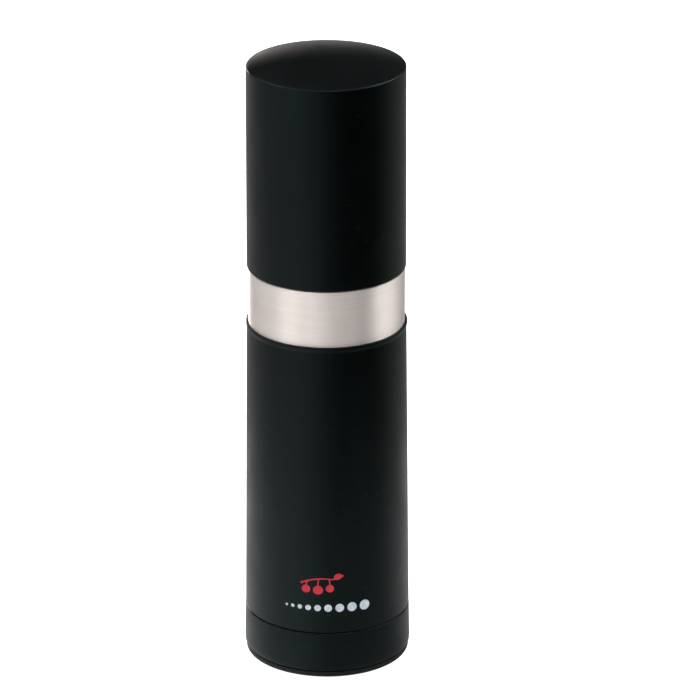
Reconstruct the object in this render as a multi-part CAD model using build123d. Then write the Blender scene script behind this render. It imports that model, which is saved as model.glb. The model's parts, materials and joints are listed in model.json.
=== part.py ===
from build123d import *
import os
from math import sqrt

# Hand-held spice mill, in millimetres: the origin is at the centre of the foot's
# underside and +Z runs up the mill's axis. Turning the head turns the shaft and its
# rotors; the head pulls off for filling, and the base cap pulls off for grinding.

os.makedirs("parts", exist_ok=True)

# --- Driving dimensions -------------------------------------------------------

# outside
FOOT_RADIUS = 24.75
FOOT_TOP = 1.9
FOOT_ROUNDING = 0.55
FOOT_EDGE = 0.15
CAP_RADIUS_LOW = 25.15
CAP_RADIUS_HIGH = 24.95
CAP_BOTTOM = 2.05
CAP_TOP = 14.5
CAP_ROUNDING = 0.5
CAP_FLARE = 0.1
CAP_FLARE_HEIGHT = 1.8
CAP_FLARE_ROUNDING = 0.5
CAP_MOUTH_ROUNDING = 0.4
BODY_RADIUS_LOW = 24.9
BODY_RADIUS_HIGH = 23.95
BODY_BOTTOM = 14.75
BODY_TOP = 107.0
LIP_RADIUS = 24.17
LIP_HEIGHT = 1.8
LIP_STRAIGHT = 0.8
LIP_FLARE_ROUNDING = 2.0
LIP_TOP_ROUNDING = 0.22
BAND_RADIUS = 23.45
BAND_WALL = 0.5
BAND_TOP = 124.3
BAND_OUTER_EDGE = 0.18
BAND_INNER_EDGE = 0.1
HEAD_RADIUS_LOW = 23.8
HEAD_RADIUS_HIGH = 23.65
HEAD_BOTTOM = 124.55
HEAD_RIM = 186.9
HEAD_TOP = 189.7
RIM_ROUNDING = 0.45
EDGE_ROUNDING = 0.3

# fits between pieces
RUNNING_FIT = 0.05
LOOSE_FIT = 0.1
HUB_FIT = 0.05
SOCKET_FIT = 0.08
SCREW_FIT = 0.05
SCREW_CLEARANCE = 0.15
OVERLAP = 0.5

# base cap, inside
CAP_BORE = 22.88
CAP_FLOOR_TOP = 4.2
CAP_FLOOR_ROUNDING = 1.2
FOOT_BOSS_RADIUS = 21.0
FOOT_BOSS_TOP = 2.7

# body shell and hopper
BODY_BORE = 22.0
BAND_SEAT = 102.0
HOPPER_RADIUS = 21.7
HOPPER_BORE = 20.0
HOPPER_BOTTOM = 27.0
FUNNEL_TOP = 40.0
FUNNEL_RADIUS = 15.6
FUNNEL_ROUNDING = 4.0
WELD_HEIGHT = 44.0
COLLAR_TOP = 124.05
NECK_RADIUS = 21.35
NECK_TOP = 134.0
NECK_ROUNDING = 0.5
BEAD_RADIUS = 21.6
BEAD_HEIGHT = 1.2
BEAD_SLOPE = 0.4
GLIDE_BOTTOM = 126.0
GLIDE_TOP = 131.0

# grinder housing
HOUSING_BOTTOM = 6.6
SPIGOT_RADIUS = 22.4
SPIGOT_ROUNDING = 0.6
HOUSING_RADIUS = 21.9
PLATE_BORE = 16.4
GRINDING_BORE = 14.8
SEAL_HEIGHT = 11.0
SEAL_SECTION = 0.75
SEAL_GROOVE_RADIUS = 21.3
PLATE_RADIUS = 16.3
BREAKER_PLATE_BOTTOM = 21.0
BREAKER_PLATE_TOP = 22.0
GRATING_PLATE_BOTTOM = 12.0
GRATING_PLATE_TOP = 12.5
PLATE_HOLE_RADIUS = 0.6
PLATE_HOLE_FIRST_RING = 6.2
PLATE_HOLE_RING_STEP = 2.2
PLATE_HOLE_FIRST_COUNT = 12
PLATE_HOLE_COUNT_STEP = 6
PLATE_HOLE_TWIST = 7
LONG_SLOT_RADIUS = 10.4
LONG_SLOT_WIDTH = 5.2
LONG_SLOT_SWEEP = 76
SHORT_SLOT_RADIUS = 13.0
SHORT_SLOT_WIDTH = 1.8
SHORT_SLOT_SWEEP = 12
RELIEF_INNER = 17.6
RELIEF_OUTER = 20.6
RELIEF_BOTTOM = 17.0
RELIEF_TOP = 33.0

# screws
SCREW_CIRCLE = 18.9
SCREW_SHANK = 2.5
SCREW_BOSS = 2.8
SCREW_HEAD = 4.4
SCREW_HEAD_HEIGHT = 1.5
COUNTERBORE = 2.4
HOUSING_SCREW_SEAT = 9.2
HOUSING_SCREW_LENGTH = 25.0
SHORT_SCREW_LENGTH = 8.0
CORE_SCREW_LENGTH = 12.0
END_SCREW_LENGTH = 6.5
SCREW_TIP_ROOM = 0.7
RECESS_DEPTH = 0.9
RECESS_REACH = 2.4
RECESS_WIDTH = 0.6
TIP_CHAMFER = 0.5

# plate retainer
EAR_BOTTOM = 6.9
EAR_TOP = 8.8
EAR_WIDTH = 6.0
EAR_TIP_RADIUS = 21.4
RETAINER_BORE = 14.2
BEARING_BOTTOM = 7.6
BEARING_TOP = 11.2
BEARING_HUB_RADIUS = 5.2
SPOKE_WIDTH = 3.0
SPOKE_TOP = 10.2
BUSH_RADIUS = 3.6
BUSH_FLANGE_RADIUS = 4.4
BUSH_FLANGE_TOP = 11.7
BUSH_TOP = 12.6
BUSH_HOLE_IN_PLATE = 3.9

# drive line
SHAFT_WIDTH = 6.0
SHAFT_EDGE = 0.35
SHAFT_SHOULDER = 12.65
SHAFT_END = 7.5
SHAFT_SQUARE_TOP = 158.0
SHAFT_TOP = 166.0
NOSE_RADIUS = 3.0
NOSE_CHAMFER = 0.8
JOURNAL_RADIUS = 2.5
WASHER_THICKNESS = 0.8
HUB_RADIUS = 6.2
ROTOR_CLEARANCE = 0.25
PRESS_HUB_TOP = 16.4
PADDLE_TOP = 18.2
PADDLE_REACH = 14.2
PADDLE_WIDTH = 2.4
SPRING_TOP = 20.0
SPRING_RADIUS = 5.1
SPRING_WIRE = 0.4
SPRING_PITCH = 1.12
SLEEVE_BOTTOM = 20.6
SLEEVE_TOP = 22.3
SLEEVE_RADIUS = 5.2
BREAKER_HUB_TOP = 25.8
BREAKER_ARM_TOP = 24.4
BREAKER_REACH = 15.0
BREAKER_ARM_WIDTH = 2.8
CLIP_TOP = 26.5
CLIP_RADIUS = 5.6
CLIP_MOUTH = 4.4
CLIP_GROOVE = 2.95

# head, inside
HEAD_SKIRT_BORE = 21.9
HEAD_SKIRT_TOP = 136.5
HEAD_BORE = 21.75
HEAD_ROOF_RIM = 185.0
HEAD_ROOF_TOP = 187.7
CORE_RADIUS = 21.7
CORE_BORE = 20.3
BOSS_OVERLAP = 1.5
CORE_BOTTOM = 137.0
CORE_TOP = 163.0
WEB_BOTTOM = 150.0
WEB_TOP = 152.5
CORE_BOSS_RADIUS = 8.0
CORE_BOSS_TOP = 169.0
RIB_WIDTH = 1.6
RIB_TOP = 159.0
SOCKET_BOTTOM = 146.0
SOCKET_TOP = 161.0
SOCKET_ACROSS_FLATS = 10.4
GRIP_SECTION = 1.05
HEAD_SCREW_CIRCLE = 15.0
HEAD_BOSS_RADIUS = 3.0


# --- Helpers ------------------------------------------------------------------

def turned(*corners):
    """Solid turned about the mill's axis from (radius, height[, rounding]) corners."""
    points = [corner[:2] for corner in corners]
    roundings = [corner[2] if len(corner) > 2 else 0 for corner in corners]
    if any(roundings):
        outline = FilletPolyline(*points, radius=roundings, close=True)
    else:
        outline = Polyline(*points, close=True)
    return revolve(make_face(Plane.XZ * outline), Axis.Z)


def ring(inner, outer, bottom, top):
    """Plain ring about the mill's axis."""
    return turned((inner, bottom), (outer, bottom), (outer, top), (inner, top))


def rod(radius, bottom, top, x=0, y=0):
    """Plain cylinder standing at x, y."""
    return Pos(x, y, bottom) * Cylinder(radius, top - bottom, align=(Align.CENTER, Align.CENTER, Align.MIN))


def bar(width, depth, bottom, top, x=0, y=0):
    """Plain block standing at x, y."""
    return Pos(x, y, bottom) * Box(width, depth, top - bottom, align=(Align.CENTER, Align.CENTER, Align.MIN))


def square_bore(bottom, top, fit=HUB_FIT):
    """Square hole that slides over the shaft."""
    width = SHAFT_WIDTH + 2 * fit
    return bar(width, width, bottom - 1, top + 1)


def around(shape, count=3, start=0):
    """Copies of a shape spread evenly about the mill's axis, joined as one."""
    copies = [Rot(0, 0, start + turn * 360 / count) * shape for turn in range(count)]
    joined = copies[0]
    for copy in copies[1:]:
        joined += copy
    return joined


def domed(radius_low, radius_high, bottom, rim, top):
    """Closed tapered cylinder with a shallow spherical top."""
    rise = top - rim
    sphere = (radius_high ** 2 + rise ** 2) / (2 * rise)
    halfway = radius_high / 2
    halfway_height = top - sphere + sqrt(sphere ** 2 - halfway ** 2)
    outline = Polyline((0, top), (0, bottom), (radius_low, bottom), (radius_high, rim))
    outline += ThreePointArc((radius_high, rim), (halfway, halfway_height), (0, top))
    return revolve(make_face(Plane.XZ * outline), Axis.Z)


def pan_screw(length, seat):
    """Cross-recess pan-head screw driven upwards, its head's bearing face at the seat."""
    screw = rod(SCREW_SHANK / 2, seat, seat + length)
    screw = chamfer(screw.edges().group_by(Axis.Z)[-1], TIP_CHAMFER)
    underside = seat - SCREW_HEAD_HEIGHT
    edge = SCREW_HEAD / 2
    screw += turned((0, underside), (edge, underside, RECESS_DEPTH), (edge, seat), (0, seat))
    blade = bar(RECESS_REACH, RECESS_WIDTH, underside - 1, underside + RECESS_DEPTH)
    for turn in (0, 90):
        screw -= Rot(0, 0, turn) * blade
    return screw


def curved_arms(reach, width, bottom, top):
    """Three swept-back arms that start inside the hub."""
    path = ThreePointArc((HUB_RADIUS - 2, 0), (reach * 0.62, reach * 0.16), (reach * 0.8, reach * 0.5))
    arm = Pos(0, 0, bottom) * extrude(SlotArc(arc=path, height=width), top - bottom)
    return around(arm)


# --- Base cap and foot --------------------------------------------------------

def make_base_foot():
    """Soft foot disc with a boss that plugs into the cap's underside."""
    return turned(
        (0, 0),
        (FOOT_RADIUS, 0, FOOT_ROUNDING),
        (FOOT_RADIUS, FOOT_TOP, FOOT_EDGE),
        (FOOT_BOSS_RADIUS, FOOT_TOP),
        (FOOT_BOSS_RADIUS, FOOT_BOSS_TOP),
        (0, FOOT_BOSS_TOP),
    )


def make_base_cap():
    """Cup that covers the grinder, with a recess below for the foot's boss."""
    recess = FOOT_BOSS_RADIUS + LOOSE_FIT
    return turned(
        (0, FOOT_BOSS_TOP),
        (recess, FOOT_BOSS_TOP),
        (recess, CAP_BOTTOM),
        (CAP_RADIUS_LOW - CAP_FLARE, CAP_BOTTOM, CAP_ROUNDING),
        (CAP_RADIUS_LOW, CAP_BOTTOM + CAP_FLARE_HEIGHT, CAP_FLARE_ROUNDING),
        (CAP_RADIUS_HIGH, CAP_TOP, EDGE_ROUNDING),
        (CAP_BORE, CAP_TOP, CAP_MOUTH_ROUNDING),
        (CAP_BORE, CAP_FLOOR_TOP, CAP_FLOOR_ROUNDING),
        (0, CAP_FLOOR_TOP),
    )


# --- Body ---------------------------------------------------------------------

def make_body_shell():
    """Outer casing: a slightly tapered tube with a small lip round the band's foot."""
    mouth = BAND_RADIUS + RUNNING_FIT
    return turned(
        (BODY_BORE, BODY_BOTTOM),
        (BODY_RADIUS_LOW, BODY_BOTTOM, EDGE_ROUNDING),
        (BODY_RADIUS_HIGH, BODY_TOP - LIP_HEIGHT, LIP_FLARE_ROUNDING),
        (LIP_RADIUS, BODY_TOP - LIP_STRAIGHT, LIP_STRAIGHT),
        (LIP_RADIUS, BODY_TOP, LIP_TOP_ROUNDING),
        (mouth, BODY_TOP, BAND_INNER_EDGE),
        (mouth, BAND_SEAT),
        (BODY_BORE, BAND_SEAT),
    )


def make_steel_band():
    """Thin drawn sleeve seated on the casing's inner ledge."""
    inner = BAND_RADIUS - BAND_WALL
    return turned(
        (inner, BAND_SEAT),
        (BAND_RADIUS, BAND_SEAT),
        (BAND_RADIUS, BAND_TOP, BAND_OUTER_EDGE),
        (inner, BAND_TOP, BAND_INNER_EDGE),
    )


def make_hopper_tube():
    """Inner tube that holds the spice: a thick collar, and a neck with two beads."""
    collar = BAND_RADIUS - BAND_WALL - RUNNING_FIT
    return turned(
        (HOPPER_BORE, WELD_HEIGHT),
        (HOPPER_RADIUS, WELD_HEIGHT),
        (HOPPER_RADIUS, BAND_SEAT),
        (collar, BAND_SEAT),
        (collar, COLLAR_TOP),
        (NECK_RADIUS, COLLAR_TOP),
        (NECK_RADIUS, GLIDE_BOTTOM - BEAD_HEIGHT),
        (BEAD_RADIUS, GLIDE_BOTTOM - BEAD_HEIGHT + BEAD_SLOPE),
        (BEAD_RADIUS, GLIDE_BOTTOM),
        (NECK_RADIUS, GLIDE_BOTTOM),
        (NECK_RADIUS, GLIDE_TOP),
        (BEAD_RADIUS, GLIDE_TOP),
        (BEAD_RADIUS, GLIDE_TOP + BEAD_HEIGHT - BEAD_SLOPE),
        (NECK_RADIUS, GLIDE_TOP + BEAD_HEIGHT),
        (NECK_RADIUS, NECK_TOP, NECK_ROUNDING),
        (HOPPER_BORE, NECK_TOP, NECK_ROUNDING),
    )


def make_funnel_ring():
    """Funnel welded to the hopper's foot, with three screw bosses in the hollow of its underside."""
    funnel = turned(
        (FUNNEL_RADIUS, HOPPER_BOTTOM),
        (HOPPER_RADIUS, HOPPER_BOTTOM),
        (HOPPER_RADIUS, WELD_HEIGHT),
        (HOPPER_BORE, WELD_HEIGHT),
        (HOPPER_BORE, FUNNEL_TOP, FUNNEL_ROUNDING),
    )
    slope = (HOPPER_BORE - FUNNEL_RADIUS) / (FUNNEL_TOP - HOPPER_BOTTOM)
    wall = HOPPER_RADIUS - RELIEF_OUTER
    relief_top_inner = FUNNEL_RADIUS + wall + slope * (RELIEF_TOP - HOPPER_BOTTOM)
    relief = turned(
        (FUNNEL_RADIUS + wall, HOPPER_BOTTOM),
        (RELIEF_OUTER, HOPPER_BOTTOM),
        (RELIEF_OUTER, RELIEF_TOP),
        (relief_top_inner, RELIEF_TOP),
    )
    relief -= around(rod(SCREW_BOSS, HOPPER_BOTTOM - 1, RELIEF_TOP + 1, x=SCREW_CIRCLE))
    hole_top = HOUSING_SCREW_SEAT + HOUSING_SCREW_LENGTH + SCREW_TIP_ROOM
    screw_hole = rod(SCREW_SHANK / 2 + SCREW_FIT, HOPPER_BOTTOM - 1, hole_top, x=SCREW_CIRCLE)
    return funnel - relief - around(screw_hole)


def make_thrust_washer():
    """Slippery washer under the head's lower edge."""
    outer = BAND_RADIUS - BAND_WALL - LOOSE_FIT
    return ring(NECK_RADIUS + LOOSE_FIT, outer, COLLAR_TOP, HEAD_BOTTOM - RUNNING_FIT)


def make_glide_ring():
    """Bearing ring between the hopper's neck and the head's skirt."""
    return ring(NECK_RADIUS + RUNNING_FIT, HEAD_SKIRT_BORE - RUNNING_FIT, GLIDE_BOTTOM, GLIDE_TOP)


# --- Grinder housing ----------------------------------------------------------

def make_grinder_housing():
    """Moulded carrier of the grinding plates, with the spigot that the base cap pushes on."""
    groove_bottom = SEAL_HEIGHT - SEAL_SECTION - RUNNING_FIT
    groove_top = SEAL_HEIGHT + SEAL_SECTION + RUNNING_FIT
    housing = turned(
        (PLATE_BORE, HOUSING_BOTTOM),
        (SPIGOT_RADIUS, HOUSING_BOTTOM, SPIGOT_ROUNDING),
        (SPIGOT_RADIUS, groove_bottom),
        (SEAL_GROOVE_RADIUS, groove_bottom),
        (SEAL_GROOVE_RADIUS, groove_top),
        (SPIGOT_RADIUS, groove_top),
        (SPIGOT_RADIUS, BODY_BOTTOM),
        (HOUSING_RADIUS, BODY_BOTTOM),
        (HOUSING_RADIUS, HOPPER_BOTTOM),
        (PLATE_BORE, HOPPER_BOTTOM),
        (PLATE_BORE, BREAKER_PLATE_BOTTOM),
        (GRINDING_BORE, BREAKER_PLATE_BOTTOM),
        (GRINDING_BORE, GRATING_PLATE_TOP),
        (PLATE_BORE, GRATING_PLATE_TOP),
    )
    relief = ring(RELIEF_INNER, RELIEF_OUTER, RELIEF_BOTTOM, HOPPER_BOTTOM + 1)
    relief -= around(rod(SCREW_BOSS, RELIEF_BOTTOM - 1, HOPPER_BOTTOM + 2, x=SCREW_CIRCLE))
    hole = SCREW_SHANK / 2 + SCREW_FIT
    screw_way = rod(hole, HOUSING_BOTTOM - 1, HOPPER_BOTTOM + 1, x=SCREW_CIRCLE)
    screw_way += rod(COUNTERBORE, HOUSING_BOTTOM - 1, HOUSING_SCREW_SEAT, x=SCREW_CIRCLE)
    pocket_inner = PLATE_BORE - 1
    pocket_outer = EAR_TIP_RADIUS + 2 * LOOSE_FIT
    pocket_length = pocket_outer - pocket_inner
    pocket_middle = (pocket_outer + pocket_inner) / 2
    pocket_width = EAR_WIDTH + 4 * LOOSE_FIT
    ear_way = bar(pocket_length, pocket_width, HOUSING_BOTTOM - 1, EAR_TOP, x=pocket_middle)
    ear_way += rod(hole, EAR_TOP - 1, EAR_BOTTOM + SHORT_SCREW_LENGTH + SCREW_TIP_ROOM, x=SCREW_CIRCLE)
    housing -= relief
    housing -= around(screw_way)
    housing -= around(ear_way, start=60)
    return housing


def make_cap_seal():
    """O-ring on the spigot that grips the base cap."""
    return Pos(0, 0, SEAL_HEIGHT) * Torus(SEAL_GROOVE_RADIUS + SEAL_SECTION, SEAL_SECTION)


def make_breaker_plate():
    """Upper fixed plate: three long slots that let cracked spice fall through, and three short ones."""
    plate = ring(SLEEVE_RADIUS + RUNNING_FIT, PLATE_RADIUS, BREAKER_PLATE_BOTTOM, BREAKER_PLATE_TOP)
    long_arc = CenterArc((0, 0), LONG_SLOT_RADIUS, -LONG_SLOT_SWEEP / 2, LONG_SLOT_SWEEP)
    short_arc = CenterArc((0, 0), SHORT_SLOT_RADIUS, 60 - SHORT_SLOT_SWEEP / 2, SHORT_SLOT_SWEEP)
    long_slot = SlotArc(arc=long_arc, height=LONG_SLOT_WIDTH)
    short_slot = SlotArc(arc=short_arc, height=SHORT_SLOT_WIDTH)
    cuts = extrude(around(long_slot), 3) + extrude(around(short_slot), 3)
    return plate - Pos(0, 0, BREAKER_PLATE_BOTTOM - 1) * cuts


def make_upper_spacer():
    """Ring that holds the breaker plate down and walls in the breaker rotor."""
    return ring(FUNNEL_RADIUS, PLATE_RADIUS, BREAKER_PLATE_TOP, HOPPER_BOTTOM)


def make_grating_plate():
    """Lower fixed plate: thin etched sheet with four rings of small sharp-edged holes."""
    plate = ring(BUSH_HOLE_IN_PLATE, PLATE_RADIUS, GRATING_PLATE_BOTTOM, GRATING_PLATE_TOP)
    for row in range(4):
        radius = PLATE_HOLE_FIRST_RING + PLATE_HOLE_RING_STEP * row
        count = PLATE_HOLE_FIRST_COUNT + PLATE_HOLE_COUNT_STEP * row
        places = PolarLocations(radius, count, start_angle=PLATE_HOLE_TWIST * row)
        holes = extrude(Sketch() + places * Circle(PLATE_HOLE_RADIUS), 2)
        plate -= Pos(0, 0, GRATING_PLATE_BOTTOM - 1) * holes
    return plate


def make_plate_retainer():
    """Clamp ring under the grating plate, with three spokes to the lower bearing and three screw ears."""
    retainer = ring(RETAINER_BORE, PLATE_RADIUS, EAR_BOTTOM, GRATING_PLATE_BOTTOM)
    retainer += rod(BEARING_HUB_RADIUS, BEARING_BOTTOM, BEARING_TOP)
    spoke_length = RETAINER_BORE - BEARING_HUB_RADIUS + 2 * OVERLAP
    spoke_middle = (RETAINER_BORE + BEARING_HUB_RADIUS) / 2
    retainer += around(bar(spoke_length, SPOKE_WIDTH, BEARING_BOTTOM, SPOKE_TOP, x=spoke_middle), start=60)
    tip_radius = EAR_TIP_RADIUS - SCREW_CIRCLE - SCREW_FIT
    ear_start = RETAINER_BORE + OVERLAP
    ear_middle = (SCREW_CIRCLE + ear_start) / 2
    ear = bar(SCREW_CIRCLE - ear_start, EAR_WIDTH, EAR_BOTTOM, EAR_TOP, x=ear_middle)
    ear += rod(tip_radius, EAR_BOTTOM, EAR_TOP, x=SCREW_CIRCLE)
    retainer += around(ear, start=60)
    retainer -= rod(BUSH_RADIUS + RUNNING_FIT, BEARING_BOTTOM - 1, BEARING_TOP + 1)
    screw_hole = rod(SCREW_SHANK / 2 + SCREW_CLEARANCE, EAR_BOTTOM - 1, EAR_TOP + 1, x=SCREW_CIRCLE)
    retainer -= around(screw_hole, start=60)
    return retainer


def make_lower_bush():
    """Bearing bush for the shaft's lower journal, its flange resting on the retainer's hub."""
    bore = JOURNAL_RADIUS + RUNNING_FIT
    bush = ring(bore, BUSH_RADIUS, BEARING_BOTTOM, BUSH_TOP)
    return bush + ring(BUSH_RADIUS, BUSH_FLANGE_RADIUS, BEARING_TOP, BUSH_FLANGE_TOP)


def make_housing_screws():
    """Three long screws that pull the hopper and the housing together round the casing."""
    screw = pan_screw(HOUSING_SCREW_LENGTH, HOUSING_SCREW_SEAT)
    return around(Pos(SCREW_CIRCLE, 0, 0) * screw)


def make_retainer_screws():
    """Three short screws through the retainer's ears."""
    return around(Pos(SCREW_CIRCLE, 0, 0) * pan_screw(SHORT_SCREW_LENGTH, EAR_BOTTOM), start=60)


# --- Drive line ---------------------------------------------------------------

def make_drive_shaft():
    """Square shaft with a turned journal below, a clip groove, and a round nose on top."""
    square = bar(SHAFT_WIDTH, SHAFT_WIDTH, SHAFT_SHOULDER, SHAFT_SQUARE_TOP)
    square = chamfer(square.edges().filter_by(Axis.Z), SHAFT_EDGE)
    nose = rod(NOSE_RADIUS, SHAFT_SQUARE_TOP, SHAFT_TOP)
    nose = chamfer(nose.edges().group_by(Axis.Z)[-1], NOSE_CHAMFER)
    shaft = square + nose + rod(JOURNAL_RADIUS, SHAFT_END, SHAFT_SHOULDER)
    shaft -= ring(CLIP_GROOVE, SHAFT_WIDTH, BREAKER_HUB_TOP, CLIP_TOP)
    tapped_top = SHAFT_END + END_SCREW_LENGTH + SCREW_TIP_ROOM
    return shaft - rod(SCREW_SHANK / 2 + SCREW_FIT, SHAFT_END - 1, tapped_top)


def make_press_rotor():
    """Lower rotor that wipes the spice across the grating plate."""
    bottom = GRATING_PLATE_TOP + ROTOR_CLEARANCE
    rotor = rod(HUB_RADIUS, bottom, PRESS_HUB_TOP)
    rotor += curved_arms(PADDLE_REACH, PADDLE_WIDTH, bottom, PADDLE_TOP)
    rotor -= rod(HUB_RADIUS, PRESS_HUB_TOP, PADDLE_TOP + 1)
    return rotor - square_bore(bottom, PRESS_HUB_TOP)


def make_pressure_spring():
    """Coil spring that presses the lower rotor down."""
    bottom = PRESS_HUB_TOP + SPRING_WIRE
    height = SPRING_TOP - SPRING_WIRE - bottom
    path = Pos(0, 0, bottom) * Helix(pitch=SPRING_PITCH, height=height, radius=SPRING_RADIUS)
    section = Plane(path @ 0, z_dir=path % 0) * Circle(SPRING_WIRE)
    return sweep(section, path=path)


def make_spring_washer():
    """Washer on which the spring bears."""
    return rod(HUB_RADIUS, SPRING_TOP, SLEEVE_BOTTOM) - square_bore(SPRING_TOP, SLEEVE_BOTTOM)


def make_journal_sleeve():
    """Round sleeve on the square shaft, turning in the breaker plate."""
    return rod(SLEEVE_RADIUS, SLEEVE_BOTTOM, SLEEVE_TOP) - square_bore(SLEEVE_BOTTOM, SLEEVE_TOP)


def make_breaker_rotor():
    """Upper rotor that cracks whole spice over the breaker plate."""
    rotor = rod(HUB_RADIUS, SLEEVE_TOP, BREAKER_HUB_TOP)
    rotor += curved_arms(BREAKER_REACH, BREAKER_ARM_WIDTH, SLEEVE_TOP, BREAKER_ARM_TOP)
    return rotor - square_bore(SLEEVE_TOP, BREAKER_HUB_TOP)


def make_shaft_clip():
    """Open clip in the shaft's groove that holds the rotors down."""
    clip = ring(CLIP_GROOVE + RUNNING_FIT, CLIP_RADIUS, BREAKER_HUB_TOP, CLIP_TOP)
    return clip - bar(CLIP_MOUTH, SHAFT_WIDTH, BREAKER_HUB_TOP - 1, CLIP_TOP + 1, y=SHAFT_WIDTH - 1)


def make_end_washer():
    """Washer under the shaft's lower end."""
    hole = SCREW_SHANK / 2 + SCREW_CLEARANCE
    return ring(hole, BUSH_FLANGE_RADIUS, SHAFT_END - WASHER_THICKNESS, SHAFT_END)


def make_end_screw():
    """Screw in the shaft's lower end."""
    return pan_screw(END_SCREW_LENGTH, SHAFT_END - WASHER_THICKNESS)


# --- Head ---------------------------------------------------------------------

def make_head_shell():
    """Domed cap that the hand turns, with three screw bosses hanging from its roof."""
    shell = domed(HEAD_RADIUS_LOW, HEAD_RADIUS_HIGH, HEAD_BOTTOM, HEAD_RIM, HEAD_TOP)
    rim_edge, lower_edge = shell.edges().sort_by(SortBy.LENGTH)[-2:]
    shell = fillet(lower_edge, EDGE_ROUNDING)
    rim_edge = shell.edges().filter_by_position(Axis.Z, HEAD_RIM - 0.01, HEAD_RIM + 0.01)
    shell = fillet(rim_edge, RIM_ROUNDING)
    shell -= domed(HEAD_BORE, HEAD_BORE, HEAD_SKIRT_TOP - 1, HEAD_ROOF_RIM, HEAD_ROOF_TOP)
    shell -= rod(HEAD_SKIRT_BORE, HEAD_BOTTOM - 1, HEAD_SKIRT_TOP)
    shell += around(rod(HEAD_BOSS_RADIUS, WEB_TOP, HEAD_ROOF_RIM + BOSS_OVERLAP, x=HEAD_SCREW_CIRCLE))
    hole_top = WEB_BOTTOM + CORE_SCREW_LENGTH + SCREW_TIP_ROOM
    return shell - around(rod(SCREW_SHANK / 2 + SCREW_FIT, WEB_TOP - 1, hole_top, x=HEAD_SCREW_CIRCLE))


def hexagon(fit, bottom, top):
    """Six-sided prism on the axis, as wide as the drive socket plus a fit."""
    outline = RegularPolygon(SOCKET_ACROSS_FLATS / 2 + fit, 6, major_radius=False)
    return Pos(0, 0, bottom) * extrude(outline, top - bottom)


def make_head_core():
    """Inner moulding of the head: a short tube, a web, and the ribbed boss of the drive socket."""
    core = ring(CORE_BORE, CORE_RADIUS, CORE_BOTTOM, CORE_TOP)
    core += rod(CORE_BORE + OVERLAP, WEB_BOTTOM, WEB_TOP)
    core += rod(CORE_BOSS_RADIUS, SOCKET_BOTTOM, CORE_BOSS_TOP)
    rib_length = CORE_BORE - CORE_BOSS_RADIUS + 2 * OVERLAP
    rib_middle = (CORE_BORE + CORE_BOSS_RADIUS) / 2
    core += around(bar(rib_length, RIB_WIDTH, WEB_BOTTOM, RIB_TOP, x=rib_middle), count=6, start=30)
    grip_top = SOCKET_TOP + 2 * GRIP_SECTION + 3 * LOOSE_FIT
    core -= hexagon(RUNNING_FIT / 2, SOCKET_BOTTOM - 1, grip_top)
    core -= rod(NOSE_RADIUS + 4 * LOOSE_FIT, SOCKET_TOP, SHAFT_TOP + 1)
    hole = SCREW_SHANK / 2 + 2 * SCREW_CLEARANCE
    core -= around(rod(hole, WEB_BOTTOM - 1, WEB_TOP + 1, x=HEAD_SCREW_CIRCLE))
    return core


def make_drive_socket():
    """Six-sided insert with the square hole that takes the shaft."""
    return hexagon(0, SOCKET_BOTTOM, SOCKET_TOP) - square_bore(SOCKET_BOTTOM, SOCKET_TOP, fit=SOCKET_FIT)


def make_grip_ring():
    """Rubber ring above the socket that grips the shaft's nose."""
    middle = SOCKET_TOP + LOOSE_FIT + GRIP_SECTION
    return Pos(0, 0, middle) * Torus(NOSE_RADIUS + RUNNING_FIT + GRIP_SECTION, GRIP_SECTION)


def make_core_screws():
    """Three screws through the web into the head's bosses."""
    return around(Pos(HEAD_SCREW_CIRCLE, 0, 0) * pan_screw(CORE_SCREW_LENGTH, WEB_BOTTOM))


# --- Every piece, under the name of its node -------------------------------------

pieces = {
    "base_foot": make_base_foot,
    "base_cap": make_base_cap,
    "body_shell": make_body_shell,
    "steel_band": make_steel_band,
    "hopper_tube": make_hopper_tube,
    "funnel_ring": make_funnel_ring,
    "thrust_washer": make_thrust_washer,
    "glide_ring": make_glide_ring,
    "grinder_housing": make_grinder_housing,
    "cap_seal": make_cap_seal,
    "breaker_plate": make_breaker_plate,
    "upper_spacer": make_upper_spacer,
    "grating_plate": make_grating_plate,
    "plate_retainer": make_plate_retainer,
    "lower_bush": make_lower_bush,
    "housing_screws": make_housing_screws,
    "retainer_screws": make_retainer_screws,
    "drive_shaft": make_drive_shaft,
    "press_rotor": make_press_rotor,
    "pressure_spring": make_pressure_spring,
    "spring_washer": make_spring_washer,
    "journal_sleeve": make_journal_sleeve,
    "breaker_rotor": make_breaker_rotor,
    "shaft_clip": make_shaft_clip,
    "end_washer": make_end_washer,
    "end_screw": make_end_screw,
    "head_shell": make_head_shell,
    "head_core": make_head_core,
    "drive_socket": make_drive_socket,
    "grip_ring": make_grip_ring,
    "core_screws": make_core_screws,
}

for name, make in pieces.items():
    export_step(make(), f"parts/{name}.step")
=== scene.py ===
import json
import math

import bmesh
import bpy
from mathutils import Matrix, Vector


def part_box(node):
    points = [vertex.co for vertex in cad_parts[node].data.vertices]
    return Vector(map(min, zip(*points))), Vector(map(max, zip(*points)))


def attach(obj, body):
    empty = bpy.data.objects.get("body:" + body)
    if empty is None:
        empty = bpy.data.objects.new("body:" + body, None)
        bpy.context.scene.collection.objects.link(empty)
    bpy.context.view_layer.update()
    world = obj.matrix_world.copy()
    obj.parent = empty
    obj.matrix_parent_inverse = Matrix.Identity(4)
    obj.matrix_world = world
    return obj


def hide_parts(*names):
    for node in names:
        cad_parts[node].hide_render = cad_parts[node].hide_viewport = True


# A slim spice mill: matt black head, body and base cap, a brushed steel band, and the
# grinder inside. Lengths are in millimetres until a mesh is made, in the CAD part's frame.

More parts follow.
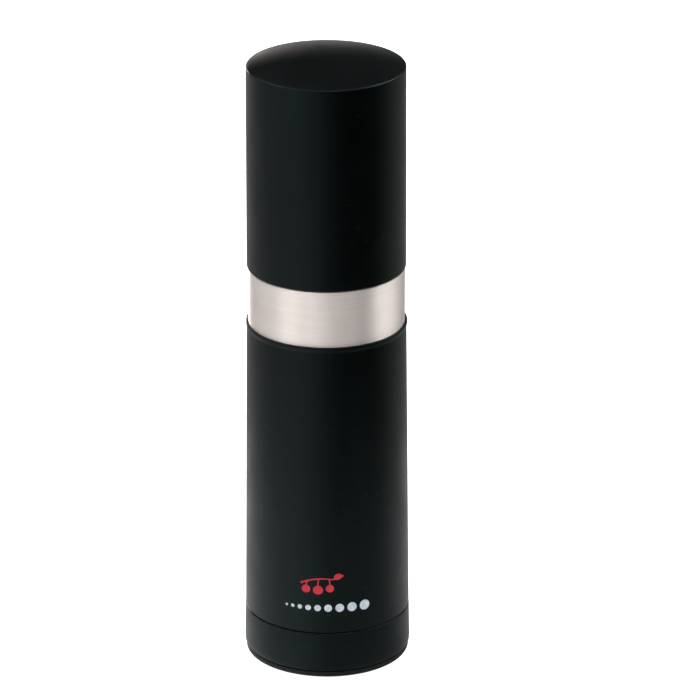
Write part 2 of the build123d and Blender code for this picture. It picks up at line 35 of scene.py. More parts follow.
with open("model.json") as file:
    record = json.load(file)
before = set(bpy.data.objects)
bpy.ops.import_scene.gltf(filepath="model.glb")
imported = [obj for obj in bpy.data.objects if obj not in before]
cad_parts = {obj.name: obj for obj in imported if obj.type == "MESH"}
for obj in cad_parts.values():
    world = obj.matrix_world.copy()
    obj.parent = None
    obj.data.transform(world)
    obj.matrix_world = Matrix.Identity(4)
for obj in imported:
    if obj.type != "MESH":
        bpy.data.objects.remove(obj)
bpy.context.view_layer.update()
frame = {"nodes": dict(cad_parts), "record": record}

MM = 0.001
AROUND = 256          # segments round the turned pieces
ARC_STEPS = 6         # segments in each rounded corner
SHARP = math.radians(28)


# --- Places from the frame ------------------------------------------------------

class Span:
    """A CAD node's outer radius, bottom and top, in millimetres."""

    def __init__(self, node):
        low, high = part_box(node)
        self.radius = max(high.x, high.y) / MM
        self.bottom = low.z / MM
        self.top = high.z / MM


head = Span("head_shell")
body = Span("body_shell")
band = Span("steel_band")
cap = Span("base_cap")
foot = Span("base_foot")
screws = Span("core_screws")


# --- Mesh helpers ---------------------------------------------------------------

def link(name, mesh, material, ride_on, stands_for=()):
    """Puts a finished mesh in the scene as a piece of the mill."""
    piece = bpy.data.objects.new(name, mesh)
    bpy.context.scene.collection.objects.link(piece)
    mesh.materials.append(material)
    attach(piece, ride_on)
    if stands_for:
        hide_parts(*stands_for)


def smooth(mesh):
    """Smooth shading with real edges kept sharp."""
    mesh.shade_smooth()
    mesh.set_sharp_from_angle(angle=SHARP)


def rounded(corners):
    """Outline points with an arc at each corner that gives a rounding: (radius, height, rounding)."""
    points = []
    count = len(corners)
    for i, corner in enumerate(corners):
        here = Vector(corner[:2])
        size = corner[2] if len(corner) > 2 else 0
        if size == 0:
            points.append(tuple(here))
            continue
        back = (Vector(corners[i - 1][:2]) - here).normalized()
        ahead = (Vector(corners[(i + 1) % count][:2]) - here).normalized()
        half = back.angle(ahead) / 2
        start = here + back * size / math.tan(half)
        centre = here + (back + ahead).normalized() * size / math.sin(half)
        first = start - centre
        turn = math.pi - 2 * half
        way = 1 if back.x * ahead.y - back.y * ahead.x < 0 else -1
        for step in range(ARC_STEPS + 1):
            spin = Matrix.Rotation(way * turn * step / ARC_STEPS, 2)
            points.append(tuple(centre + spin @ first))
    return points


def lathe(name, outline, around=AROUND, closed=True):
    """Mesh turned about the mill's axis from (radius, height) points in millimetres."""
    mesh = bpy.data.meshes.new(name)
    shape = bmesh.new()
    rings = []
    for radius, height in outline:
        if radius < 1e-6:
            rings.append([shape.verts.new((0, 0, height * MM))])
            continue
        loop = []
        for i in range(around):
            angle = 2 * math.pi * i / around
            across = radius * MM * math.cos(angle)
            along = radius * MM * math.sin(angle)
            loop.append(shape.verts.new((across, along, height * MM)))
        rings.append(loop)
    pairs = list(zip(rings, rings[1:]))
    if closed:
        pairs.append((rings[-1], rings[0]))
    for lower, upper in pairs:
        if len(lower) == 1 and len(upper) == 1:
            continue
        for i in range(around):
            j = (i + 1) % around
            corners = [
                lower[i % len(lower)],
                lower[j % len(lower)],
                upper[j % len(upper)],
                upper[i % len(upper)],
            ]
            unique = list(dict.fromkeys(corners))
            shape.faces.new(unique)
    bmesh.ops.recalc_face_normals(shape, faces=shape.faces)
    shape.to_mesh(mesh)
    shape.free()
    smooth(mesh)
    return mesh


# --- Node material helpers --------------------------------------------------------

class Look:
    """A material with one Principled shader, and short calls that add its texture nodes."""

    def __init__(self, name, color, roughness, metallic=0.0):
        self.material = bpy.data.materials.new(name)
        self.material.use_nodes = True
        self.tree = self.material.node_tree
        self.shader = self.tree.nodes["Principled BSDF"]
        self.shader.inputs["Base Color"].default_value = (*color, 1)
        self.shader.inputs["Roughness"].default_value = roughness
        self.shader.inputs["Metallic"].default_value = metallic
        self.place = self.add("ShaderNodeTexCoord").outputs["Object"]
        self.bump = None

    def add(self, kind, **values):
        node = self.tree.nodes.new(kind)
        for key, value in values.items():
            setattr(node, key, value)
        return node

    def join(self, source, target):
        self.tree.links.new(source, target)

    def noise(self, scale, detail=3.0, roughness=0.5, stretch=(1, 1, 1), offset=(0, 0, 0)):
        """Noise whose grains are 1/scale metres across, stretched along the axes."""
        mapping = self.add("ShaderNodeMapping")
        mapping.inputs["Scale"].default_value = stretch
        mapping.inputs["Location"].default_value = offset
        self.join(self.place, mapping.inputs["Vector"])
        texture = self.add("ShaderNodeTexNoise")
        texture.inputs["Scale"].default_value = scale
        texture.inputs["Detail"].default_value = detail
        texture.inputs["Roughness"].default_value = roughness
        self.join(mapping.outputs["Vector"], texture.inputs["Vector"])
        return texture.outputs["Fac"]

    def specks(self, scale, size):
        """Scattered round dots, one in each cell 1/scale metres across that the surface meets."""
        cells = self.add("ShaderNodeTexVoronoi")
        cells.inputs["Scale"].default_value = scale
        self.join(self.place, cells.inputs["Vector"])
        return self.spread(cells.outputs["Distance"], size * 0.6, size, 1, 0)

    def spread(self, value, low, high, to_low, to_high):
        """Value moved from low..high to to_low..to_high and held within them."""
        node = self.add("ShaderNodeMapRange")
        self.join(value, node.inputs["Value"])
        for name, number in zip(("From Min", "From Max", "To Min", "To Max"), (low, high, to_low, to_high)):
            node.inputs[name].default_value = number
        return node.outputs["Result"]

    def math(self, operation, a, b):
        node = self.add("ShaderNodeMath", operation=operation)
        for socket, value in zip(node.inputs, (a, b)):
            if isinstance(value, (int, float)):
                socket.default_value = value
            else:
                self.join(value, socket)
        return node.outputs["Value"]

    def mix(self, factor, first, second):
        """Colour between two, each a plain colour or a node's output."""
        node = self.add("ShaderNodeMix", data_type="RGBA")
        self.join(factor, node.inputs["Factor"])
        for socket, value in ((node.inputs["A"], first), (node.inputs["B"], second)):
            if isinstance(value, tuple):
                socket.default_value = (*value, 1)
            else:
                self.join(value, socket)
        for socket in node.outputs:
            if socket.type == "RGBA":
                return socket

    def color(self, value):
        self.join(value, self.shader.inputs["Base Color"])

    def roughness(self, value):
        self.join(value, self.shader.inputs["Roughness"])

    def relief(self, height, distance):
        """Bump of a real depth in millimetres, added on the ones before."""
        node = self.add("ShaderNodeBump")
        node.inputs["Distance"].default_value = distance * MM
        self.join(height, node.inputs["Height"])
        if self.bump:
            self.join(self.bump, node.inputs["Normal"])
        self.bump = node.outputs["Normal"]
        self.join(self.bump, self.shader.inputs["Normal"])

    def set(self, **values):
        for name, value in values.items():
            self.shader.inputs[name.replace("_", " ")].default_value = value


# --- Materials --------------------------------------------------------------------

def soft_touch_black():
    """Matt rubbery coating: fine grain, hardly any shine, a few faint specks of dust."""
    look = Look("soft_touch_black", (0.0005, 0.0007, 0.0008), 0.40)
    look.set(Specular_IOR_Level=0.195, Specular_Tint=(0.68, 1.0, 0.99, 1))
    cloud = look.noise(38, detail=4, offset=(3, 1, 2))
    grain = look.noise(5200, detail=2)
    dust = look.math("MAXIMUM", look.specks(240, 0.045), look.specks(420, 0.045))
    base = look.mix(cloud, (0.0001, 0.00025, 0.0003), (0.0003, 0.0005, 0.0005))
    look.color(look.mix(dust, base, (0.030, 0.033, 0.031)))
    rough = look.spread(look.noise(90, detail=5), 0.3, 0.7, 0.36, 0.43)
    look.roughness(look.math("ADD", rough, look.spread(grain, 0.3, 0.7, -0.03, 0.03)))
    look.relief(grain, 0.012)
    look.relief(look.noise(1300, detail=3), 0.02)
    return look.material


def brushed_band():
    """Stainless sleeve brushed round the axis, a little warm, with faint stains."""
    look = Look("brushed_band", (0.80, 0.78, 0.765), 0.5, metallic=0.93)
    look.set(Anisotropic=0.9, Anisotropic_Rotation=0.25)
    tangent = look.add("ShaderNodeTangent", direction_type="RADIAL", axis="Z")
    look.join(tangent.outputs["Tangent"], look.shader.inputs["Tangent"])
    fine = look.noise(70, detail=6, roughness=0.7, stretch=(1, 1, 180))
    broad = look.noise(24, detail=4, stretch=(1, 1, 60), offset=(1, 2, 3))
    stain = look.noise(55, detail=5, offset=(5, 5, 1))
    streak = look.math("ADD", look.math("MULTIPLY", fine, 0.6), look.math("MULTIPLY", broad, 0.4))
    metal = look.mix(look.spread(streak, 0.36, 0.66, 0, 1), (0.93, 0.85, 0.805), (1.0, 0.925, 0.88))
    look.color(look.mix(look.spread(stain, 0.5, 0.72, 0, 0.5), metal, (0.80, 0.70, 0.63)))
    look.roughness(look.spread(fine, 0.3, 0.7, 0.44, 0.56))
    look.relief(fine, 0.006)
    return look.material


def foot_rubber():
    """Matt rubber with a fine moulded grain."""
    look = Look("foot_rubber", (0.005, 0.006, 0.006), 0.55)
    look.set(Specular_IOR_Level=0.22, Specular_Tint=(0.75, 1.0, 1.0, 1))
    cloud = look.noise(60, detail=4)
    grain = look.noise(3600, detail=2)
    look.color(look.mix(cloud, (0.0030, 0.0036, 0.0036), (0.0055, 0.0062, 0.0062)))
    look.roughness(look.spread(grain, 0.3, 0.7, 0.5, 0.6))
    look.relief(grain, 0.02)
    return look.material


def inner_moulding():
    """Dark grey moulding with a light spark-eroded texture."""
    look = Look("inner_moulding", (0.03, 0.031, 0.033), 0.42)
    grain = look.noise(2600, detail=2)
    cloud = look.noise(50, detail=4)
    look.color(look.mix(cloud, (0.024, 0.025, 0.027), (0.038, 0.039, 0.041)))
    look.roughness(look.spread(grain, 0.3, 0.7, 0.36, 0.5))
    look.relief(grain, 0.02)
    return look.material


def hopper_plastic():
    """Smoke-grey polished plastic with faint flow lines and a little spice dust."""
    look = Look("hopper_plastic", (0.10, 0.095, 0.088), 0.2)
    flow = look.noise(30, detail=4, stretch=(1, 1, 0.15))
    dust = look.noise(900, detail=3)
    base = look.mix(flow, (0.085, 0.08, 0.074), (0.125, 0.118, 0.108))
    look.color(look.mix(look.spread(dust, 0.62, 0.75, 0, 0.6), base, (0.20, 0.12, 0.07)))
    look.roughness(look.spread(flow, 0.3, 0.7, 0.16, 0.28))
    look.relief(look.noise(400, detail=2), 0.006)
    return look.material


def bearing_nylon():
    """Natural nylon: milky, waxy, a little mottled."""
    look = Look("bearing_nylon", (0.70, 0.68, 0.61), 0.38)
    look.set(Subsurface_Weight=0.25, Subsurface_Scale=0.002)
    cloud = look.noise(160, detail=4)
    look.color(look.mix(cloud, (0.64, 0.62, 0.55), (0.76, 0.74, 0.68)))
    look.roughness(look.spread(cloud, 0.3, 0.7, 0.32, 0.46))
    look.relief(look.noise(1800, detail=2), 0.01)
    return look.material


def seal_rubber():
    """Brick-red silicone with a faint bloom."""
    look = Look("seal_rubber", (0.20, 0.03, 0.018), 0.42)
    cloud = look.noise(240, detail=4)
    look.color(look.mix(cloud, (0.16, 0.022, 0.013), (0.26, 0.045, 0.028)))
    look.roughness(look.spread(cloud, 0.3, 0.7, 0.36, 0.52))
    look.relief(look.noise(2500, detail=2), 0.008)
    return look.material


def metal_look(name, low, high, roughness, scale, stretch, depth):
    """Worked metal: grain stretched along the way it was worked."""
    look = Look(name, high, roughness, metallic=1.0)
    grain = look.noise(scale, detail=5, roughness=0.65, stretch=stretch)
    cloud = look.noise(120, detail=4)
    blend = look.math("ADD", look.math("MULTIPLY", grain, 0.65), look.math("MULTIPLY", cloud, 0.35))
    look.color(look.mix(look.spread(blend, 0.35, 0.65, 0, 1), low, high))
    look.roughness(look.spread(grain, 0.3, 0.7, roughness - 0.07, roughness + 0.08))
    look.relief(grain, depth)
    return look.material


def ink(name, low, high):
    """Pad-printed ink film: slightly uneven, with a very fine grain."""
    look = Look(name, high, 0.5)
    look.set(Specular_IOR_Level=0.3)
    mottle = look.noise(900, detail=4)
    look.color(look.mix(look.spread(mottle, 0.35, 0.65, 0, 1), low, high))
    look.roughness(look.spread(mottle, 0.3, 0.7, 0.44, 0.58))
    look.relief(look.noise(4200, detail=2), 0.006)
    return look.material


looks = {
    "soft_touch_black": soft_touch_black(),
    "brushed_band": brushed_band(),
    "foot_rubber": foot_rubber(),
    "inner_moulding": inner_moulding(),
    "hopper_plastic": hopper_plastic(),
    "bearing_nylon": bearing_nylon(),
    "seal_rubber": seal_rubber(),
    "plate_steel": metal_look(
        "plate_steel", (0.46, 0.45, 0.44), (0.60, 0.59, 0.58), 0.3, 60, (1, 40, 1), 0.004),
    "rotor_steel": metal_look(
        "rotor_steel", (0.36, 0.355, 0.35), (0.50, 0.49, 0.485), 0.36, 200, (1, 1, 6), 0.006),
    "shaft_steel": metal_look(
        "shaft_steel", (0.44, 0.435, 0.43), (0.58, 0.575, 0.57), 0.28, 900, (1, 1, 0.02), 0.004),
    "bush_brass": metal_look(
        "bush_brass", (0.56, 0.38, 0.15), (0.74, 0.55, 0.27), 0.3, 300, (1, 1, 12), 0.005),
    "screw_steel": metal_look(
        "screw_steel", (0.48, 0.48, 0.49), (0.66, 0.66, 0.67), 0.24, 400, (1, 1, 4), 0.004),
    "print_red": ink("print_red", (0.34, 0.008, 0.020), (0.42, 0.012, 0.028)),
    "print_white": ink("print_white", (0.33, 0.37, 0.42), (0.44, 0.48, 0.53)),
}


# --- Outer pieces ------------------------------------------------------------------

EDGE = 0.3              # rounding of the mouldings' showing edges
HEAD_BOSS_CIRCLE = 15.0
HEAD_BOSS_RADIUS = 3.0
HEAD_BOSS_HOLE = 1.3
HEAD_BOSS_RISE = 4.0    # from the screws' undersides up to the bosses' feet
SCREW_TIP_ROOM = 0.7
HEAD_DOME_RISE = 2.8
HEAD_RIM_ROUNDING = 0.45
HEAD_TAPER = 0.15
HEAD_WALL = 1.9         # at the lower edge
HEAD_INNER_STEP = 0.15  # how much narrower the head is above its bearing bore
HEAD_ROOF = 1.9         # from the inner rim up to the outer one
HEAD_SKIRT = 11.95      # how far the bearing bore runs up from the head's lower edge
HEAD_INNER_ROUNDING = 0.2
HEAD_BOSSES = 3
HEAD_BOSS_AROUND = 48
DOME_STEPS = 24
ROOF_STEPS = 12
BODY_TAPER = 0.95
BODY_LIP = 0.22         # how far the lip stands out round the band's foot
LIP_HEIGHT = 1.8
LIP_STRAIGHT = 0.8
BODY_WALL = 2.9
BODY_INNER_ROUNDING = 0.15
LIP_BLEND = 2.0         # rounding where the taper meets the lip
LIP_ROUNDING = 0.22
MOUTH_ROUNDING = 0.1
MOUTH_FIT = 0.05
BAND_WALL = 0.5
BAND_OUTER_ROUNDING = 0.18
BAND_INNER_ROUNDING = 0.1
CAP_WALL = 2.27
CAP_FLARE = 0.1
CAP_TAPER = 0.2
CAP_FLOOR = 2.15
CAP_FLARE_HEIGHT = 1.8
CAP_CORNER_ROUNDING = 0.5
CAP_MOUTH_ROUNDING = 0.4
CAP_CUP_ROUNDING = 1.2
FOOT_STEP = 0.3         # gap that shows as a dark line under the cap
FOOT_LOWER_ROUNDING = 0.55
FOOT_UPPER_ROUNDING = 0.15
BOSS_INSET = 3.75
BOSS_FIT = 0.1


def dome_points(radius, rim, rise, steps):
    """Shallow spherical dome from the rim to the axis."""
    sphere = (radius ** 2 + rise ** 2) / (2 * rise)
    points = []
    for step in range(1, steps + 1):
        across = radius * (1 - step / steps)
        points.append((across, rim + rise - sphere + math.sqrt(sphere ** 2 - across ** 2)))
    return points


def joined(mesh, others):
    """Mesh with other closed meshes added to it as one solid."""
    bench = bpy.data.objects.new("bench", mesh)
    bpy.context.scene.collection.objects.link(bench)
    tools = []
    for other in others:
        tool = bpy.data.objects.new("tool", other)
        bpy.context.scene.collection.objects.link(tool)
        tools.append(tool)
        union = bench.modifiers.new("union", "BOOLEAN")
        union.operation = "UNION"
        union.solver = "EXACT"
        union.object = tool
    bpy.context.view_layer.update()
    evaluated = bench.evaluated_get(bpy.context.evaluated_depsgraph_get())
    result = bpy.data.meshes.new_from_object(evaluated)
    result.name = mesh.name
    for thing in [bench] + tools:
        bpy.data.objects.remove(thing)
    smooth(result)
    return result


def moved(mesh, x, y):
    """Mesh shifted sideways, in millimetres."""
    mesh.transform(Matrix.Translation((x * MM, y * MM, 0)))
    return mesh


def make_head():
    """Domed head: outside with a crisp rounded rim, inside with its bearing skirt, roof and bosses."""
    rim = head.top - HEAD_DOME_RISE
    radius_high = head.radius - HEAD_TAPER
    dome = dome_points(radius_high, rim, HEAD_DOME_RISE, DOME_STEPS)
    skirt_bore = head.radius - HEAD_WALL
    bore = skirt_bore - HEAD_INNER_STEP
    outline = rounded([
        (skirt_bore, head.bottom, HEAD_INNER_ROUNDING),
        (head.radius, head.bottom, EDGE),
        (radius_high, rim, HEAD_RIM_ROUNDING),
        dome[0],
    ])
    outline += dome[1:]
    outline += dome_points(bore, rim - HEAD_ROOF, HEAD_DOME_RISE, ROOF_STEPS)[::-1]
    outline += [
        (bore, rim - HEAD_ROOF),
        (bore, head.bottom + HEAD_SKIRT),
        (skirt_bore, head.bottom + HEAD_SKIRT),
    ]
    shell = lathe("head_cover", outline)
    bosses = []
    boss_foot = screws.bottom + HEAD_BOSS_RISE
    hole_top = screws.top + SCREW_TIP_ROOM
    boss_top = rim - HEAD_ROOF / 2
    for turn in range(HEAD_BOSSES):
        angle = math.radians(360 * turn / HEAD_BOSSES)
        boss = lathe("boss", [
            (0, hole_top),
            (HEAD_BOSS_HOLE, hole_top),
            (HEAD_BOSS_HOLE, boss_foot),
            (HEAD_BOSS_RADIUS, boss_foot),
            (HEAD_BOSS_RADIUS, boss_top),
            (0, boss_top),
        ], around=HEAD_BOSS_AROUND, closed=False)
        across = HEAD_BOSS_CIRCLE * math.cos(angle)
        along = HEAD_BOSS_CIRCLE * math.sin(angle)
        bosses.append(moved(boss, across, along))
    mesh = joined(shell, bosses)
    link("head_cover", mesh, looks["soft_touch_black"], "head", ["head_shell"])


def body_radius(height):
    """Outer radius of the tapered casing at a height."""
    up = (height - body.bottom) / (body.top - LIP_HEIGHT - body.bottom)
    return body.radius - BODY_TAPER * up


def make_body():
    """Body casing with its small lip round the band's foot."""
    high = body.radius - BODY_TAPER
    lip = high + BODY_LIP
    bore = body.radius - BODY_WALL
    seat = band.bottom
    mouth = band.radius + MOUTH_FIT
    outline = rounded([
        (bore, body.bottom, BODY_INNER_ROUNDING),
        (body.radius, body.bottom, EDGE),
        (high, body.top - LIP_HEIGHT, LIP_BLEND),
        (lip, body.top - LIP_STRAIGHT, LIP_STRAIGHT),
        (lip, body.top, LIP_ROUNDING),
        (mouth, body.top, MOUTH_ROUNDING),
        (mouth, seat),
        (bore, seat),
    ])
    mesh = lathe("body_casing", outline)
    link("body_casing", mesh, looks["soft_touch_black"], "body", ["body_shell"])


def make_band():
    """Steel sleeve with its rounded upper edge."""
    inner = band.radius - BAND_WALL
    outline = rounded([
        (inner, band.bottom),
        (band.radius, band.bottom),
        (band.radius, band.top, BAND_OUTER_ROUNDING),
        (inner, band.top, BAND_INNER_ROUNDING),
    ])
    mesh = lathe("brushed_band", outline)
    link("brushed_band", mesh, looks["brushed_band"], "body", ["steel_band"])


def make_cap():
    """Base cap: a cup with a rounded lower edge."""
    bore = cap.radius - CAP_WALL
    recess = foot.radius - BOSS_INSET + BOSS_FIT
    outline = rounded([
        (0, foot.top),
        (recess, foot.top),
        (recess, cap.bottom),
        (cap.radius - CAP_FLARE, cap.bottom, CAP_CORNER_ROUNDING),
        (cap.radius, cap.bottom + CAP_FLARE_HEIGHT, CAP_CORNER_ROUNDING),
        (cap.radius - CAP_TAPER, cap.top, EDGE),
        (bore, cap.top, CAP_MOUTH_ROUNDING),
        (bore, cap.bottom + CAP_FLOOR, CAP_CUP_ROUNDING),
        (0, cap.bottom + CAP_FLOOR),
    ])
    mesh = lathe("cap_cup", outline, closed=False)
    link("cap_cup", mesh, looks["soft_touch_black"], "base", ["base_cap"])


def make_foot():
    """Foot disc with its rounded lower edge."""
    boss = foot.radius - BOSS_INSET
    step = cap.bottom - FOOT_STEP
    outline = rounded([
        (0, foot.bottom),
        (foot.radius, foot.bottom, FOOT_LOWER_ROUNDING),
        (foot.radius, step, FOOT_UPPER_ROUNDING),
        (boss, step),
        (boss, foot.top),
        (0, foot.top),
    ])
    mesh = lathe("foot_disc", outline, closed=False)
    link("foot_disc", mesh, looks["foot_rubber"], "base", ["base_foot"])


# --- Printed mark ------------------------------------------------------------------

PRINT_TURN = 4.2        # degrees from the front towards -X
PRINT_PROUD = 0.03      # the ink film's height over the casing
PRINT_SUNK = 0.12       # how far its back reaches into the casing
SPRIG_HEIGHT = 30.4     # middle of the sprig above the foot's underside
DOTS_HEIGHT = 23.0
BLOB_RINGS = 5
STEM_WIDTH = 0.60
STEM_THINNING = 0.008   # at each step along the stem
STALK_WIDTH = 0.36
# Across, up, radius, and the stem's point that the stalk hangs from.
PEPPERCORNS = ((-4.7, -1.25, 1.3, 8), (-1.0, -1.5, 1.5, 17), (2.6, -0.95, 1.25, 26))
PEPPERCORN_AROUND = 60
LEAF_STEPS = 24
LEAF_TIP = 0.1
LEAF_WIDTH = 1.9
DOTS = 9
DOTS_START = -11.4
DOT_AROUND = 48
DOT_FIRST = 0.42        # radius of the smallest dot
DOT_GROWTH = 0.15
DOT_GAP = 1.02


def on_casing(across, height, proud):
    """Point on the casing, from millimetres to the right of the mark's middle line."""
    angle = math.radians(-90 - PRINT_TURN) + across / body.radius
    radius = body_radius(height) + proud
    return Vector((radius * math.cos(angle), radius * math.sin(angle), height)) * MM


def blob(radii, across, up):
    """Disc-like patch: points and faces, its edge at the given radii round the middle."""
    count = len(radii)
    points = [(across, up)]
    for k in range(1, BLOB_RINGS + 1):
        for i, radius in enumerate(radii):
            angle = 2 * math.pi * i / count
            reach = radius * k / BLOB_RINGS
            points.append((across + reach * math.cos(angle), up + reach * math.sin(angle)))
    faces = [(0, 1 + i, 1 + (i + 1) % count) for i in range(count)]
    for k in range(BLOB_RINGS - 1):
        inner = 1 + k * count
        for i in range(count):
            j = (i + 1) % count
            faces.append((inner + i, inner + count + i, inner + count + j, inner + j))
    return points, faces


def ribbon(path, widths):
    """Patch along a path, with its width at each point."""
    points = []
    for i, (across, up) in enumerate(path):
        before = Vector(path[max(i - 1, 0)])
        after = Vector(path[min(i + 1, len(path) - 1)])
        way = (after - before).normalized()
        for side in (-0.5, 0, 0.5):
            points.append((across - way.y * widths[i] * side, up + way.x * widths[i] * side))
    faces = []
    for i in range(len(path) - 1):
        for k in range(2):
            first = 3 * i + k
            faces.append((first, first + 3, first + 4, first + 1))
    return points, faces


def film(name, patches, height, material_slot):
    """Ink film: thin closed patches wrapped on the casing."""
    mesh = bpy.data.meshes.new(name)
    shape = bmesh.new()
    for points, faces in patches:
        front = [shape.verts.new(on_casing(u, height + v, PRINT_PROUD)) for u, v in points]
        back = [shape.verts.new(on_casing(u, height + v, -PRINT_SUNK)) for u, v in points]
        edges = set()
        for face in faces:
            shape.faces.new([front[i] for i in face])
            shape.faces.new([back[i] for i in reversed(face)])
            edges.update(zip(face, face[1:] + face[:1]))
        for i, j in edges:
            if (j, i) not in edges:
                shape.faces.new([front[j], front[i], back[i], back[j]])
    bmesh.ops.recalc_face_normals(shape, faces=shape.faces)
    shape.to_mesh(mesh)
    shape.free()
    smooth(mesh)
    link(name, mesh, looks[material_slot], "body")


def curve(start, middle, end, steps=16):
    """Points along a quadratic curve."""
    points = []
    for step in range(steps + 1):
        t = step / steps
        here = Vector(start) * (1 - t) ** 2 + Vector(middle) * 2 * t * (1 - t) + Vector(end) * t ** 2
        points.append(tuple(here))
    return points


def make_print():
    """A sprig with three peppercorns and a leaf over a row of dots from fine to coarse."""
    stem = curve((-6.4, 0.5), (-1.6, 3.0), (3.7, 1.9), steps=30)
    patches = [ribbon(stem, [STEM_WIDTH - STEM_THINNING * i for i in range(len(stem))])]
    for across, up, size, joint in PEPPERCORNS:
        uneven = []
        for i in range(PEPPERCORN_AROUND):
            angle = 2 * math.pi * i / PEPPERCORN_AROUND
            uneven.append(size * (1 + 0.02 * math.sin(2 * angle + size) + 0.012 * math.sin(7 * angle)))
        patches.append(blob(uneven, across, up))
        top = stem[joint]
        stalk = curve((across, up + size * 0.9), (across, (up + size + top[1]) / 2), top)
        patches.append(ribbon(stalk, [STALK_WIDTH] * len(stalk)))
    leaf = curve((3.8, 1.95), (5.0, 3.3), (6.9, 3.0), steps=LEAF_STEPS)
    widths = []
    for i in range(LEAF_STEPS + 1):
        widths.append(LEAF_TIP + LEAF_WIDTH * math.sin(math.pi * (i / LEAF_STEPS) ** 0.85))
    patches.append(ribbon(leaf, widths))
    film("print_sprig", patches, SPRIG_HEIGHT, "print_red")
    dots = []
    across = DOTS_START
    for step in range(DOTS):
        size = DOT_FIRST + DOT_GROWTH * step
        across += size
        dots.append(blob([size] * DOT_AROUND, across, 0))
        across += size + DOT_GAP
    film("print_dots", dots, DOTS_HEIGHT, "print_white")


for make in (make_head, make_body, make_band, make_cap, make_foot, make_print):
    make()

for subpart in frame["record"]["subparts"]:
    node = frame["nodes"][subpart["node"]]
    for material_slot in node.material_slots:
        material_slot.material = looks[subpart["material_slot"]]


# --- Stage, light and camera --------------------------------------------------------

LIGHT_TARGET = 0.09     # metres above the floor
FLOOR_SIZE = 8
FLOOR_GLOW = 0.85
NEAR_SIZE = 0.14
NEAR_GLOW = 0.05
FLOOR_DROP = 0.0002     # keeps the paper clear of the foot
CAMERA_PITCH = 21.9
CAMERA_ROLL = -0.15
CAMERA_DISTANCE = 1.5
CAMERA_TARGET = 0.0968
CAMERA_LENS = 257.1
CAMERA_SENSOR = 36
CAMERA_SHIFT = 0.0333


def area_light(name, azimuth, elevation, distance, width, height, power, color=(1, 1, 1)):
    """Soft box facing the mill: azimuth 0 is behind the camera, positive to its right."""
    around = math.radians(azimuth)
    up = math.radians(elevation)
    target = Vector((0, 0, LIGHT_TARGET))
    way = Vector((math.sin(around) * math.cos(up), -math.cos(around) * math.cos(up), math.sin(up)))
    lamp = bpy.data.lights.new(name, "AREA")
    lamp.shape = "RECTANGLE"
    lamp.size = width
    lamp.size_y = height
    lamp.energy = power
    lamp.color = color
    box = bpy.data.objects.new(name, lamp)
    box.location = target + way * distance
    box.rotation_euler = way.to_track_quat("Z", "Y").to_euler()
    bpy.context.scene.collection.objects.link(box)


# Brightness round the mill, by azimuth in degrees: 0 is behind the camera, positive to its right.
SWEEP = (
    (-180, 0.90), (-158, 0.55), (-105, 0.58), (-70, 0.70), (-42, 0.92), (-28, 0.86), (-8, 0.44),
    (8, 0.15), (22, 0.005), (76, 0.005), (94, 0.22), (112, 0.42), (150, 0.36), (180, 0.90),
)
# Near floor colour by azimuth, seen only in the mill's reflections: painted light on the left and right,
# painted shade in front on the right.
NEAR_FLOOR_PAINTED_SHADE = ((-180, 0.85), (-30, 0.90), (5, 0.42), (72, 0.35), (98, 0.55), (130, 0.60), (180, 0.85))
WIDE_FLOOR = ((-180, 0.90), (180, 0.90))
DIM_ABOVE = 0.035
SWEEP_ENDS = (-0.04, 0.13)   # heights between which the sweep fades into the dim room


def azimuth_ramp(tree, place, stops):
    """Grey by azimuth round the Z axis, eased between the stops."""
    add = tree.nodes.new
    split = add("ShaderNodeSeparateXYZ")
    tree.links.new(place, split.inputs["Vector"])
    front = add("ShaderNodeMath")
    front.operation = "MULTIPLY"
    front.inputs[1].default_value = -1
    tree.links.new(split.outputs["Y"], front.inputs[0])
    azimuth = add("ShaderNodeMath")
    azimuth.operation = "ARCTAN2"
    tree.links.new(split.outputs["X"], azimuth.inputs[0])
    tree.links.new(front.outputs[0], azimuth.inputs[1])
    turn = add("ShaderNodeMapRange")
    turn.inputs["From Min"].default_value = -math.pi
    turn.inputs["From Max"].default_value = math.pi
    tree.links.new(azimuth.outputs[0], turn.inputs["Value"])
    ramp = add("ShaderNodeValToRGB")
    ramp.color_ramp.interpolation = "EASE"
    while len(ramp.color_ramp.elements) < len(stops):
        ramp.color_ramp.elements.new(0.5)
    for element, (angle, glow) in zip(ramp.color_ramp.elements, stops):
        element.position = (angle + 180) / 360
        element.color = (glow, glow, glow, 1)
    tree.links.new(turn.outputs["Result"], ramp.inputs["Fac"])
    return ramp.outputs["Color"]


def make_world():
    """White sweep up to the horizon, with a dark gap in front on the right, and a dim room above."""
    world = bpy.data.worlds.new("studio")
    world.use_nodes = True
    tree = world.node_tree
    add = tree.nodes.new
    place = add("ShaderNodeTexCoord").outputs["Generated"]
    sweep = azimuth_ramp(tree, place, SWEEP)
    split = add("ShaderNodeSeparateXYZ")
    tree.links.new(place, split.inputs["Vector"])
    rise = add("ShaderNodeMapRange")
    rise.interpolation_type = "SMOOTHSTEP"
    rise.inputs["From Min"].default_value = SWEEP_ENDS[0]
    rise.inputs["From Max"].default_value = SWEEP_ENDS[1]
    tree.links.new(split.outputs["Z"], rise.inputs["Value"])
    mix = add("ShaderNodeMix")
    mix.data_type = "RGBA"
    tree.links.new(rise.outputs["Result"], mix.inputs["Factor"])
    tree.links.new(sweep, mix.inputs["A"])
    mix.inputs["B"].default_value = (DIM_ABOVE, DIM_ABOVE, DIM_ABOVE, 1)
    tree.links.new([o for o in mix.outputs if o.type == "RGBA"][0], tree.nodes["Background"].inputs["Color"])
    bpy.context.scene.world = world


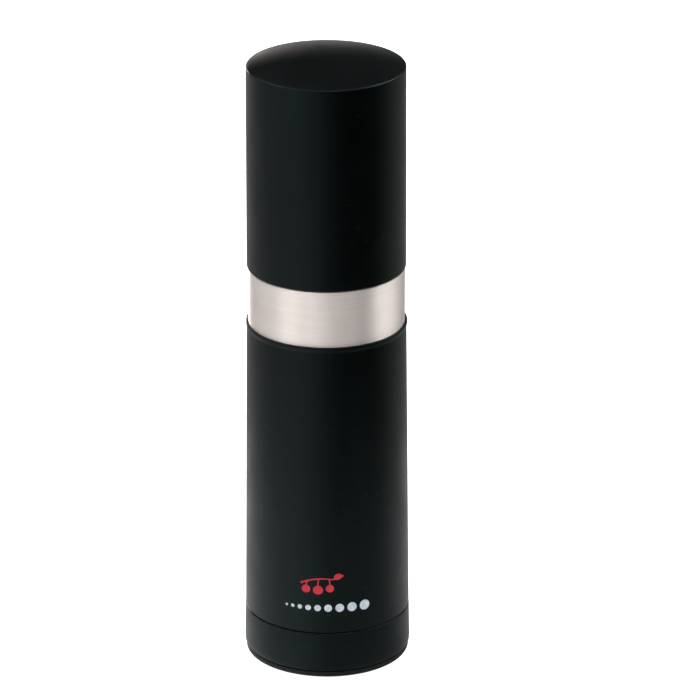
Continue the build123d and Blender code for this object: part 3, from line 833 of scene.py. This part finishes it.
def paper(name, size, stops, glow):
    """Square of pale paper on the ground that glows a little, like a light table, its colour set by azimuth
    from the stops; on the near sheet these paint light and shade.
    """
    mesh = bpy.data.meshes.new(name)
    shape = bmesh.new()
    bmesh.ops.create_grid(shape, x_segments=8, y_segments=8, size=size)
    shape.to_mesh(mesh)
    shape.free()
    sheet = bpy.data.objects.new(name, mesh)
    sheet.location = (0, 0, -FLOOR_DROP)
    bpy.context.scene.collection.objects.link(sheet)
    look = Look(name, (0.9, 0.9, 0.9), 0.9)
    # Painted light and shade by azimuth on the near sheet; the wide floor's stops are even.
    shade = azimuth_ramp(look.tree, look.place, stops)
    fibre = look.spread(look.noise(400, detail=3), 0.3, 0.7, 0, 0.03)
    look.color(look.mix(fibre, shade, (0.8, 0.8, 0.8)))
    look.set(Emission_Color=(1, 1, 1, 1), Emission_Strength=glow, Specular_IOR_Level=0.0)
    mesh.materials.append(look.material)
    return sheet


def make_floor():
    """Wide pale floor, and the near part of it that the mill's sides mirror, with painted light and shade
    round the mill that shows only in their reflections.
    """
    floor = paper("floor", FLOOR_SIZE, WIDE_FLOOR, FLOOR_GLOW)
    floor.visible_glossy = False
    near = paper("floor_near", NEAR_SIZE, NEAR_FLOOR_PAINTED_SHADE, NEAR_GLOW)
    near.visible_camera = False
    near.visible_diffuse = False
    near.visible_shadow = False


def make_camera():
    """Long lens looking down on the mill's front."""
    pitch = math.radians(CAMERA_PITCH)
    target = Vector((0, 0, CAMERA_TARGET))
    lens = bpy.data.cameras.new("camera")
    lens.lens = CAMERA_LENS
    lens.sensor_width = CAMERA_SENSOR
    lens.shift_x = CAMERA_SHIFT
    lens.clip_end = 50
    camera = bpy.data.objects.new("camera", lens)
    away = Vector((0, -math.cos(pitch), math.sin(pitch)))
    camera.location = target + away * CAMERA_DISTANCE
    roll = Matrix.Rotation(math.radians(CAMERA_ROLL), 4, away)
    facing = away.to_track_quat("Z", "Y").to_matrix().to_4x4()
    camera.matrix_world = Matrix.Translation(camera.location) @ roll @ facing
    bpy.context.scene.collection.objects.link(camera)
    bpy.context.scene.camera = camera


make_world()
make_floor()
area_light("back_left_box", -160, 3, 1.1, 0.5, 0.12, 7, (1.0, 0.89, 0.85))
area_light("back_box", 180, 62, 1.3, 0.9, 0.9, 0.2)
area_light("rim_strip", -58, 12, 1.2, 0.6, 0.1, 1.6)
area_light("front_left_box", -34, 52, 1.2, 0.7, 0.7, 3.4)
area_light("left_box", -118, 50, 1.2, 0.8, 0.7, 6)
area_light("front_right_box", 22, 58, 1.2, 1.0, 0.6, 6.5)
area_light("far_right_box", 108, 44, 1.2, 0.9, 0.6, 11)
make_camera()
bpy.context.scene.view_settings.view_transform = "Standard"
